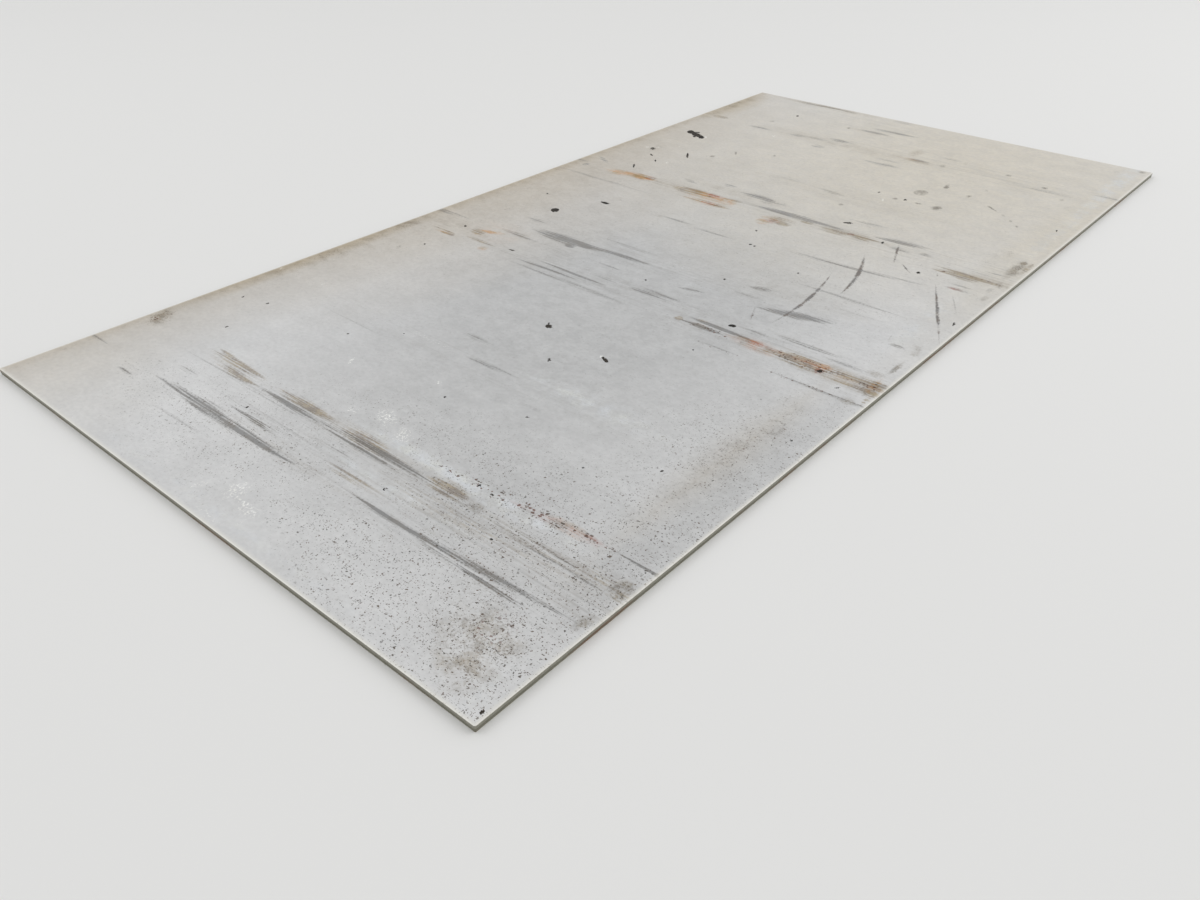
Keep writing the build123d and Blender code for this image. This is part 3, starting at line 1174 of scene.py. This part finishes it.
@dataclass(frozen=True)
class PlateFinish:
    """Pickled hot-rolled steel as one material for the whole plate."""

    name: str = "pickled_plate_steel"
    face: FaceFinish = field(default_factory=FaceFinish)
    edge: EdgeFinish = field(default_factory=EdgeFinish)
    underside: UndersideFinish = field(default_factory=UndersideFinish)
    metal_share: float = 0.35
    sheen: float = 0.3
    most_rough: float = 0.95
    skin_relief: float = 0.05
    torn_relief: float = 0.22
    sag_relief: float = 0.5

    def material(self) -> bpy.types.Material:
        """Build the material.

        Returns:
            The new material.
        """
        made = bpy.data.materials.new(self.name)
        made.use_nodes = True
        graph = Graph(made.node_tree)
        place = graph.out(graph.node("ShaderNodeTexCoord"), "Object")
        down = graph.out(graph.node("ShaderNodeAttribute", {"attribute_name": "down"}), "Fac")
        colour, rough, bare = self.face.lay(graph, place)
        colour, rough = self.edge.lay(graph, place, down, colour, rough)
        colour = self.underside.lay(graph, place, down, colour)
        bump = graph.node("ShaderNodeBump", None, {"Distance": MM, "Height": self.relief(graph, place, down)})
        shader = graph.node(
            "ShaderNodeBsdfPrincipled",
            None,
            {
                "Base Color": colour,
                "Roughness": rough.at_most(self.most_rough),
                "Metallic": bare * self.metal_share,
                "Specular IOR Level": self.sheen,
                "Normal": graph.out(bump, "Normal"),
            },
        )
        graph.node("ShaderNodeOutputMaterial", None, {"Surface": graph.out(shader)})
        return made

    def relief(self, graph: Graph, place: Wire, down: Wire) -> Wire:
        """The fine relief of the skin and of the break.

        Args:
            graph: The material's graph.
            place: The point, in metres.
            down: How far down the edge the point is.

        Returns:
            The height, in millimetres.
        """
        pits = graph.cloud(place, Grain.PITS)
        sag = graph.cloud(place, Grain.SAG)
        depth = down.rise(*Level.FINE_RELIEF.value, self.skin_relief, self.torn_relief)
        return pits * depth + sag * self.sag_relief


# The plate


@dataclass
class PlateShape:
    """The plate's mesh: flat faces in cells, and a fine strip for the sheared edge. Sizes in metres.

    Stations are the points along one long and one short side, and the cells of a flat face start and end at
    stations. The upper face has a column of points at every station of the fine bands, which are given in X,
    because thin marks are painted there. The steps are where the edge's section has its points: angles in
    degrees, and shares of the land and of the break.
    """

    length: float = 3.0
    width: float = 1.5
    thickness: float = 0.015
    roll_over_width: float = 12.0 * MM
    roll_over_depth: float = 1.6 * MM
    land_depth: float = 5.4 * MM
    break_lean: float = 0.9 * MM
    arris_radius: float = 0.6 * MM
    corner_radius: float = 3.0 * MM
    stations: tuple[int, int] = (960, 480)
    upper_cells: tuple[int, int] = (480, 60)
    under_cells: tuple[int, int] = (30, 15)
    fine_bands: tuple[Numbers, ...] = ((-1.36, -1.08), (-0.44, -0.04), (0.26, 0.50), (1.07, 1.12))
    roll_steps: Numbers = (0, 18, 36, 54, 72, 90)
    land_steps: Numbers = (1 / 3, 2 / 3, 1.0)
    break_steps: Numbers = (0.05, 0.18, 0.34, 0.5, 0.66, 0.82, 1.0)
    arris_steps: Numbers = (30, 60, 90)
    corner_steps: Numbers = (0, 15, 30, 45, 60, 75, 90)

    def __post_init__(self) -> None:
        """Start with no points and no faces."""
        self.points: list[Numbers] = []
        self.outward: list[Numbers] = []
        self.down: list[float] = []
        self.faces: list[list[int]] = []
        self.smooth: list[bool] = []

    @property
    def land_top(self) -> float:
        """Height at which the upright land begins."""
        return self.thickness - self.roll_over_depth

    @property
    def land_foot(self) -> float:
        """Height at which the break begins."""
        return self.land_top - self.land_depth

    def outline(self) -> list[tuple[Vector, Vector, Vector]]:
        """The stations round the plate, anticlockwise from the left end of the front side.

        Returns:
            For each station, its place on the outline, the way out of the plate, and its place on the
            flat's rim.
        """
        found = []
        half = Vector((self.length / 2, self.width / 2))
        sides = (
            (Vector((-1, -1)), Vector((1, 0)), self.length, self.stations[0]),
            (Vector((1, -1)), Vector((0, 1)), self.width, self.stations[1]),
            (Vector((1, 1)), Vector((-1, 0)), self.length, self.stations[0]),
            (Vector((-1, 1)), Vector((0, -1)), self.width, self.stations[1]),
        )
        for corner, along, span, count in sides:
            out = Vector((along.y, -along.x))
            start = Vector((corner.x * half.x, corner.y * half.y))
            end = start + along * span
            for i in range(count + 1):
                reach = self.roll_over_width + (span - 2 * self.roll_over_width) * i / count
                at = start + along * reach
                found.append((at, out, at - out * self.roll_over_width))
            # Round the dressed corner, every station runs in to the corner of the flat.
            inner = found[-1][2]
            between = (self.roll_over_width + self.corner_radius) / 2
            centre = end - (along + out) * self.corner_radius
            found.append((end - along * between, out, inner))
            for angle in self.corner_steps:
                turn = math.radians(angle)
                way = out * math.cos(turn) + along * math.sin(turn)
                found.append((centre + way * self.corner_radius, way, inner))
            found.append((end - out * between, along, inner))
        return found

    def face_height(self, at: Vector) -> float:
        """Height of the upper face, which falls towards the nearer side where the roll-over is.

        Args:
            at: A point in the plate's plan.

        Returns:
            The height.
        """
        inset = min(self.length / 2 - abs(at.x), self.width / 2 - abs(at.y))
        share = min(1.0, max(0.0, 1 - inset / self.roll_over_width))
        return self.land_top + self.roll_over_depth * math.sqrt(1 - share * share)

    def lean_at(self, z: float) -> float:
        """How far the break leans in at a height."""
        return self.break_lean * (self.land_foot - z) / self.land_foot

    def section(self, outer: Vector, way: Vector, inner: Vector) -> list[tuple[Vector, float]]:
        """The edge's section at one station, from the flat's rim round to the underside.

        Args:
            outer: The station's place on the outline.
            way: The way out of the plate there.
            inner: The station's place on the flat's rim.

        Returns:
            The points, each with how far down the edge it is.
        """
        found = []
        for angle in self.roll_steps:
            at = inner.lerp(outer, math.sin(math.radians(angle)))
            found.append((Vector((*at, self.face_height(at))), angle / 90))
        top = found[-1][0].z
        for share in self.land_steps:
            found.append((Vector((*outer, top + (self.land_foot - top) * share)), 1 + share))
        for share in self.break_steps:
            z = self.land_foot + (self.arris_radius - self.land_foot) * share
            found.append((Vector((*(outer - way * self.lean_at(z)), z)), 2 + share))
        for angle in self.arris_steps:
            turn = math.radians(angle)
            inset = self.lean_at(self.arris_radius) + self.arris_radius * (1 - math.cos(turn))
            rise = self.arris_radius * (1 - math.sin(turn))
            found.append((Vector((*(outer - way * inset), rise)), 3 + angle / 90))
        return found

    def add_point(self, at: Vector, way: Vector, down: float) -> int:
        """Add a point.

        Args:
            at: Its place.
            way: The way out of the plate there, or nothing on a flat face.
            down: How far down the edge it is.

        Returns:
            Its number.
        """
        self.points.append(tuple(at))
        self.outward.append((way.x, way.y, 0.0))
        self.down.append(down)
        return len(self.points) - 1

    def add_face(self, corners: Sequence[int], smooth: bool) -> None:
        """Add a face, leaving out corners that repeat."""
        kept = [c for i, c in enumerate(corners) if c != corners[i - 1]]
        if len(kept) > 2:
            self.faces.append(kept)
            self.smooth.append(smooth)

    def strip(self) -> list[list[int]]:
        """Build the sheared edge.

        Returns:
            The point numbers, row by row from the flat's rim to the underside, each row going round the
            plate.
        """
        columns = []
        rim: dict[tuple[float, float], int] = {}
        for outer, way, inner in self.outline():
            (at, down), *others = self.section(outer, way, inner)
            key = (round(at.x, 6), round(at.y, 6))
            if key not in rim:
                rim[key] = self.add_point(at, way, down)
            columns.append([rim[key]] + [self.add_point(place, way, far) for place, far in others])
        for here, after in zip(columns, columns[1:] + columns[:1]):
            for row in range(len(here) - 1):
                self.add_face((here[row], here[row + 1], after[row + 1], after[row]), smooth=True)
        return [list(row) for row in zip(*columns)]

    def split_rim(self, rim: Sequence[int]) -> tuple[list[list[int]], list[list[int]]]:
        """Sort the points round a face.

        Args:
            rim: Their numbers.

        Returns:
            Those of the four sides, and those round the four corners.
        """
        counts = [stations + 1 for stations in self.stations * 2]
        corner = (len(rim) - sum(counts)) // 4
        sides, corners, at = [], [], 0
        for count in counts:
            sides.append(list(rim[at : at + count]))
            corners.append(list(rim[at + count : at + count + corner]))
            at += count + corner
        return sides, corners

    def cuts(self, upper: bool) -> tuple[list[int], list[int]]:
        """The stations at which a flat face is cut into cells.

        Args:
            upper: True for the upper face, which is cut at every station where thin marks are painted.

        Returns:
            The stations along the length and those along the width.
        """
        cells = self.upper_cells if upper else self.under_cells
        bands = self.fine_bands if upper else ()
        step_x, step_y = (last // count for last, count in zip(self.stations, cells))
        last_x, last_y = self.stations
        half = self.length / 2 - self.roll_over_width
        columns = []
        for i in range(last_x + 1):
            x = half * (2 * i / last_x - 1)
            if i % step_x == 0 or any(start <= x <= end for start, end in bands):
                columns.append(i)
        return columns, list(range(0, last_y + 1, step_y))

    def flat(self, rim: Sequence[int], upper: bool) -> None:
        """Fill one flat face with cells, of which the outer ones meet the rim's fine stations.

        Args:
            rim: Point numbers round the face.
            upper: True for the upper face, False for the underside.
        """
        columns, rows = self.cuts(upper)
        last_x, last_y = self.stations
        half_x = self.length / 2 - self.roll_over_width
        half_y = self.width / 2 - self.roll_over_width
        z, down = (self.thickness, 0.0) if upper else (0.0, 4.0)
        inner = {}
        for i in columns[1:-1]:
            for j in rows[1:-1]:
                at = Vector((half_x * (2 * i / last_x - 1), half_y * (2 * j / last_y - 1), z))
                inner[i, j] = self.add_point(at, Vector((0, 0)), down)
        sides, corners = self.split_rim(rim)
        for left, right in zip(columns, columns[1:]):
            for front, back in zip(rows, rows[1:]):
                # The cell's front, right, back and left, anticlockwise.
                edges = (
                    (front == 0, left, right, (left, front), (right, front)),
                    (right == last_x, front, back, (right, front), (right, back)),
                    (back == last_y, last_x - right, last_x - left, (right, back), (left, back)),
                    (left == 0, last_y - back, last_y - front, (left, back), (left, front)),
                )
                ring: list[int] = []
                for side, (on_rim, first, last, start, end) in enumerate(edges):
                    if on_rim:
                        ring += sides[side][first : last + 1]
                        ring += corners[side] if last == self.stations[side % 2] else []
                    else:
                        ring += [inner[key] for key in (start, end) if key in inner]
                self.add_face(ring if upper else ring[::-1], smooth=False)

    def paint(self, coats: Sequence[Coat]) -> Iterator[tuple[str, list[float]]]:
        """Paint the wide marks of the coats on the points.

        Args:
            coats: The coats.

        Returns:
            The name of each coat that has wide marks, and its strength at each point.
        """
        order = sorted(range(len(self.points)), key=lambda number: self.points[number][0])
        places = [self.points[number][0] for number in order]
        for coat in coats:
            values = [0.0] * len(self.points)
            for start, end, strength in coat.wide():
                for number in order[bisect_left(places, start) : bisect_right(places, end)]:
                    x, y, _ = self.points[number]
                    values[number] += strength(x, y)
            if any(coat.wide()):
                yield coat.name, values

    def mesh(self, name: str, coats: Sequence[Coat]) -> bpy.types.Mesh:
        """Build the whole mesh.

        Args:
            name: Name of the mesh.
            coats: The coats that are painted on its points.

        Returns:
            The mesh, with the way out of the plate, the place down the edge and the coats' strengths as
            attributes of its points.
        """
        rows = self.strip()
        self.flat(rows[0], upper=True)
        self.flat(rows[-1], upper=False)
        made = bpy.data.meshes.new(name)
        made.from_pydata(self.points, [], self.faces)
        made.polygons.foreach_set("use_smooth", self.smooth)
        way = made.attributes.new("outward", "FLOAT_VECTOR", "POINT")
        way.data.foreach_set("vector", [c for v in self.outward for c in v])
        down = made.attributes.new("down", "FLOAT", "POINT")
        down.data.foreach_set("value", self.down)
        for layer, values in self.paint(coats):
            painted = made.attributes.new(layer, "FLOAT", "POINT")
            painted.data.foreach_set("value", values)
        made.update()
        return made


@dataclass(frozen=True)
class TornRelief:
    """The relief of the sheared edge, which Geometry Nodes carry all round the plate. Sizes in metres.

    The waves of the land's foot are wander_stretch times as long as the tear pitch.
    """

    tear_depth: float = 0.55 * MM
    tear_pitch: float = 9.0 * MM
    grain_depth: float = 0.22 * MM
    grain_pitch: float = 3.2 * MM
    land_wander: float = 0.9 * MM
    wander_stretch: float = 2.5
    seed: float = 7.0

    def tree(self) -> bpy.types.NodeTree:
        """Build the node tree.

        Returns:
            The tree, which takes the plate's mesh and gives it back with its edge torn.
        """
        tree = bpy.data.node_groups.new("torn_edge", "GeometryNodeTree")
        graph = Graph(tree)
        tree.interface.new_socket("Geometry", in_out="INPUT", socket_type="NodeSocketGeometry")
        for name in ("Tear Depth", "Tear Pitch", "Grain Depth", "Grain Pitch", "Land Wander", "Seed"):
            tree.interface.new_socket(name, in_out="INPUT", socket_type="NodeSocketFloat")
        tree.interface.new_socket("Finish", in_out="INPUT", socket_type="NodeSocketMaterial")
        tree.interface.new_socket("Geometry", in_out="OUTPUT", socket_type="NodeSocketGeometry")
        given = graph.node("NodeGroupInput")
        stored = (
            graph.node("GeometryNodeInputNamedAttribute", {"data_type": kind}, {"Name": name})
            for kind, name in (("FLOAT_VECTOR", "outward"), ("FLOAT", "down"))
        )
        outward, down = (graph.out(made, "Attribute") for made in stored)
        place = graph.out(graph.node("GeometryNodeInputPosition"))

        def waves(pitch: Wire, detail: float) -> Wire:
            """Noise from 0 to 1 whose waves are about a pitch long."""
            made = graph.node(
                "ShaderNodeTexNoise",
                {"noise_dimensions": "4D"},
                {
                    "Vector": place,
                    "W": graph.out(given, "Seed"),
                    "Scale": graph.sum_of("DIVIDE", 1.0, pitch),
                    "Detail": detail,
                },
            )
            return graph.out(made, 0)

        # Only the break is torn. It starts at the foot of the land and ends where the arris is dressed.
        tear = waves(graph.out(given, "Tear Pitch"), 1.0).rise(0.3, 0.7) * graph.out(given, "Tear Depth")
        grain = waves(graph.out(given, "Grain Pitch"), 2.0).rise(0.3, 0.7) * graph.out(given, "Grain Depth")
        inwards = (tear + grain) * down.rise(*Level.TEAR_STARTS.value) * down.rise(*Level.TEAR_STOPS.value)
        # The foot of the land rises and falls along the edge.
        swing = (waves(graph.out(given, "Tear Pitch") * self.wander_stretch, 2.0) - 0.5) * 2.0
        lift = swing * graph.out(given, "Land Wander")
        lift = lift * down.rise(*Level.FOOT_FROM_ABOVE.value) * down.rise(*Level.FOOT_FROM_BELOW.value)
        upwards = graph.out(graph.node("ShaderNodeCombineXYZ", None, {"Z": lift}))
        offset = outward * (inwards * -1.0) + upwards

        body = graph.out(given, "Geometry")
        moved = graph.node("GeometryNodeSetPosition", None, {"Geometry": body, "Offset": offset})
        real = graph.node("GeometryNodeRealizeInstances", None, {"Geometry": graph.out(moved)})
        dressing = {"Geometry": graph.out(real), "Material": graph.out(given, "Finish")}
        dressed = graph.node("GeometryNodeSetMaterial", None, dressing)
        graph.node("NodeGroupOutput", None, {"Geometry": graph.out(dressed)})
        return tree

    def carve(self, plain: bpy.types.Object, finish: bpy.types.Material) -> bpy.types.Mesh:
        """Run the tree on an object.

        Args:
            plain: The object whose edge is torn.
            finish: The material that the result gets.

        Returns:
            The new mesh.
        """
        tree = self.tree()
        modifier = plain.modifiers.new("torn edge", "NODES")
        modifier.node_group = tree
        wanted = {
            "Tear Depth": self.tear_depth,
            "Tear Pitch": self.tear_pitch,
            "Grain Depth": self.grain_depth,
            "Grain Pitch": self.grain_pitch,
            "Land Wander": self.land_wander,
            "Seed": self.seed,
            "Finish": finish,
        }
        for item in tree.interface.items_tree:
            if item.in_out == "INPUT" and item.name in wanted:
                modifier[item.identifier] = wanted[item.name]
        depsgraph = bpy.context.evaluated_depsgraph_get()
        carved = plain.evaluated_get(depsgraph)
        made = bpy.data.meshes.new_from_object(carved, preserve_all_data_layers=True, depsgraph=depsgraph)
        plain.modifiers.remove(modifier)
        return made


@dataclass(frozen=True)
class Plate:
    """The steel plate, in one piece."""

    shape: PlateShape = field(default_factory=PlateShape)
    relief: TornRelief = field(default_factory=TornRelief)
    finish: PlateFinish = field(default_factory=PlateFinish)
    name: str = "dressed_plate"

    def build(self) -> bpy.types.Object:
        """Build the plate, dress it and put it in the CAD plate's place.

        Returns:
            The finished object.
        """
        material = self.finish.material()
        piece = bpy.data.objects.new(self.name, self.shape.mesh(self.name, self.finish.face.coats))
        bpy.context.scene.collection.objects.link(piece)
        piece.data = self.relief.carve(piece, material)
        piece.data.name = self.name
        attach(piece, "root")
        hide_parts("steel_plate")
        triangles = sum(len(p.vertices) - 2 for p in piece.data.polygons)
        nodes = len(material.node_tree.nodes)
        log.info("%s: %d triangles, %d material nodes", self.name, triangles, nodes)
        return piece


# Studio


@dataclass(frozen=True)
class Studio:
    """A pale floor, soft light and the camera that matches the photograph."""

    floor_colour: Numbers = (0.80, 0.80, 0.79)
    floor_roughness: float = 0.9
    floor_half: float = 30.0
    floor_height: float = -0.2 * MM
    air_level: float = 0.77
    key_at: Numbers = (4.6, -5.2, 4.6)
    key_side: float = 7.0
    key_power: float = 160.0
    fill_at: Numbers = (-4.0, 4.5, 5.0)
    fill_side: float = 4.0
    fill_power: float = 50.0
    camera_at: Numbers = (-2.0753, -1.4705, 1.0835)
    camera_right: Numbers = (0.65402, -0.75648, 0.00101)
    camera_up: Numbers = (0.42452, 0.36813, 0.82720)
    camera_forward: Numbers = (0.62613, 0.54058, -0.56190)
    lens: float = 29.89
    sensor: float = 36.0
    nearest: float = 0.01
    farthest: float = 200.0

    def floor(self) -> None:
        """Lay the floor just under the plate."""
        half, z = self.floor_half, self.floor_height
        mesh = bpy.data.meshes.new("floor")
        corners = [(-half, -half, z), (half, -half, z), (half, half, z), (-half, half, z)]
        mesh.from_pydata(corners, [], [(0, 1, 2, 3)])
        laid = bpy.data.objects.new("floor", mesh)
        bpy.context.scene.collection.objects.link(laid)
        material = bpy.data.materials.new("floor_paint")
        material.use_nodes = True
        graph = Graph(material.node_tree)
        paint = {"Base Color": self.floor_colour, "Roughness": self.floor_roughness}
        shader = graph.node("ShaderNodeBsdfPrincipled", None, paint)
        graph.node("ShaderNodeOutputMaterial", None, {"Surface": graph.out(shader)})
        mesh.materials.append(material)
        log.info("floor laid")

    def air(self) -> None:
        """Light the plate from all round, and let it and the camera see a white background."""
        world = bpy.data.worlds.new("studio_air")
        world.use_nodes = True
        graph = Graph(world.node_tree)
        ray = graph.node("ShaderNodeLightPath")
        seen = graph.out(ray, "Is Camera Ray").at_least(graph.out(ray, "Is Glossy Ray"))
        seen = seen.at_least(graph.out(ray, "Is Transmission Ray"))
        level = seen * (1.0 - self.air_level) + self.air_level
        glow = graph.node("ShaderNodeBackground", None, {"Color": (1.0, 1.0, 1.0), "Strength": level})
        graph.node("ShaderNodeOutputWorld", None, {"Surface": graph.out(glow)})
        bpy.context.scene.world = world

    def lamp(self, name: str, at: Numbers, side: float, power: float) -> None:
        """Hang a square soft lamp that faces the plate.

        Args:
            name: Name of the lamp.
            at: Where it hangs, in metres.
            side: Its side.
            power: Its power in watts.
        """
        data = bpy.data.lights.new(name, "AREA")
        data.size = side
        data.energy = power
        hung = bpy.data.objects.new(name, data)
        bpy.context.scene.collection.objects.link(hung)
        hung.location = at
        hung.rotation_mode = "QUATERNION"
        hung.rotation_quaternion = (-Vector(at)).to_track_quat("-Z", "Y")

    def camera(self) -> None:
        """Set the camera at the photograph's place and angle."""
        data = bpy.data.cameras.new("camera")
        data.lens = self.lens
        data.sensor_width = self.sensor
        data.clip_start, data.clip_end = self.nearest, self.farthest
        made = bpy.data.objects.new("camera", data)
        bpy.context.scene.collection.objects.link(made)
        axes = Matrix((self.camera_right, self.camera_up, -Vector(self.camera_forward))).transposed()
        made.matrix_world = Matrix.Translation(self.camera_at) @ axes.to_4x4()
        bpy.context.scene.camera = made

    def build(self) -> None:
        """Set up the whole studio."""
        self.floor()
        self.air()
        self.lamp("key", self.key_at, self.key_side, self.key_power)
        self.lamp("fill", self.fill_at, self.fill_side, self.fill_power)
        self.camera()
        bpy.context.scene.view_settings.view_transform = "Standard"
        log.info("studio ready")


def main() -> None:
    """Build the plate and the studio."""
    logging.basicConfig(level=logging.INFO, format="%(name)s: %(message)s")
    Plate().build()
    Studio().build()


if __name__ == "__main__":
    main()
